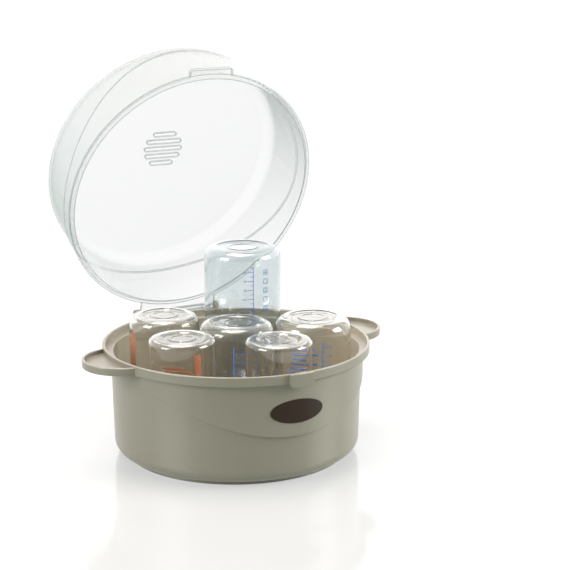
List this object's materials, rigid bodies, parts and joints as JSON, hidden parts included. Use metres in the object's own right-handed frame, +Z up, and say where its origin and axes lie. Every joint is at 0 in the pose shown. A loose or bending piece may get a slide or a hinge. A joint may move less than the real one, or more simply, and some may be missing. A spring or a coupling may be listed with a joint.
{
  "type": "microwave bottle sterilizer",
  "caption": "Round microwave steam sterilizer with a hinged clear lid, a deep tub with ears, and a rack of feeding bottles stood on their mouths.",
  "frame": {"origin": "on the tub's axis, in the plane that the tub stands on", "axes": "+Z up, -Y to the front with the catch and the badge, +Y to the hinge, +X to the right ear as seen from the front"},
  "size_m": [0.29, 0.3137, 0.3513],
  "materials": {
    "tub": "satin moulded polypropylene, greige",
    "badge": "dark brown satin plate, blank",
    "lid": "clear, faintly milky polypropylene",
    "rack": "satin moulded polypropylene, warm greige",
    "bottle": "clear glossy plastic with printed scales"
  },
  "bodies": {
    "tub": {"tub": "tub", "badge_plate": "badge"},
    "lid": {"lid": "lid"},
    "rack": {"bottle_rack": "rack"},
    "bottle_front": {"bottle_front": "bottle"},
    "bottle_left": {"bottle_left": "bottle"},
    "bottle_rear_left": {"bottle_rear_left": "bottle"},
    "bottle_rear_right": {"bottle_rear_right": "bottle"},
    "bottle_right": {"bottle_right": "bottle"},
    "bottle_centre": {"bottle_centre": "bottle"}
  },
  "joints": [
    {"name": "lid_hinge", "type": "hinge", "parent": "tub", "child": "lid", "pos_m": [0, 0.127, 0.0995], "axis": [-1, 0, 0], "range_deg": [-70, 0]},
    {"name": "rack_lift", "type": "slide", "parent": "tub", "child": "rack", "axis": [0, 0, 1], "range_m": [0, 0.06]},
    {"name": "front_bottle_lift", "type": "slide", "parent": "rack", "child": "bottle_front", "axis": [0, 0, 1], "range_m": [0, 0.105]},
    {"name": "left_bottle_lift", "type": "slide", "parent": "rack", "child": "bottle_left", "axis": [0, 0, 1], "range_m": [0, 0.105]},
    {"name": "rear_left_bottle_lift", "type": "slide", "parent": "rack", "child": "bottle_rear_left", "axis": [0, 0, 1], "range_m": [0, 0.105]},
    {"name": "rear_right_bottle_lift", "type": "slide", "parent": "rack", "child": "bottle_rear_right", "axis": [0, 0, 1], "range_m": [0, 0.062]},
    {"name": "right_bottle_lift", "type": "slide", "parent": "rack", "child": "bottle_right", "axis": [0, 0, 1], "range_m": [0, 0.105]},
    {"name": "centre_bottle_lift", "type": "slide", "parent": "rack", "child": "bottle_centre", "axis": [0, 0, 1], "range_m": [0, 0.105]}
  ]
}
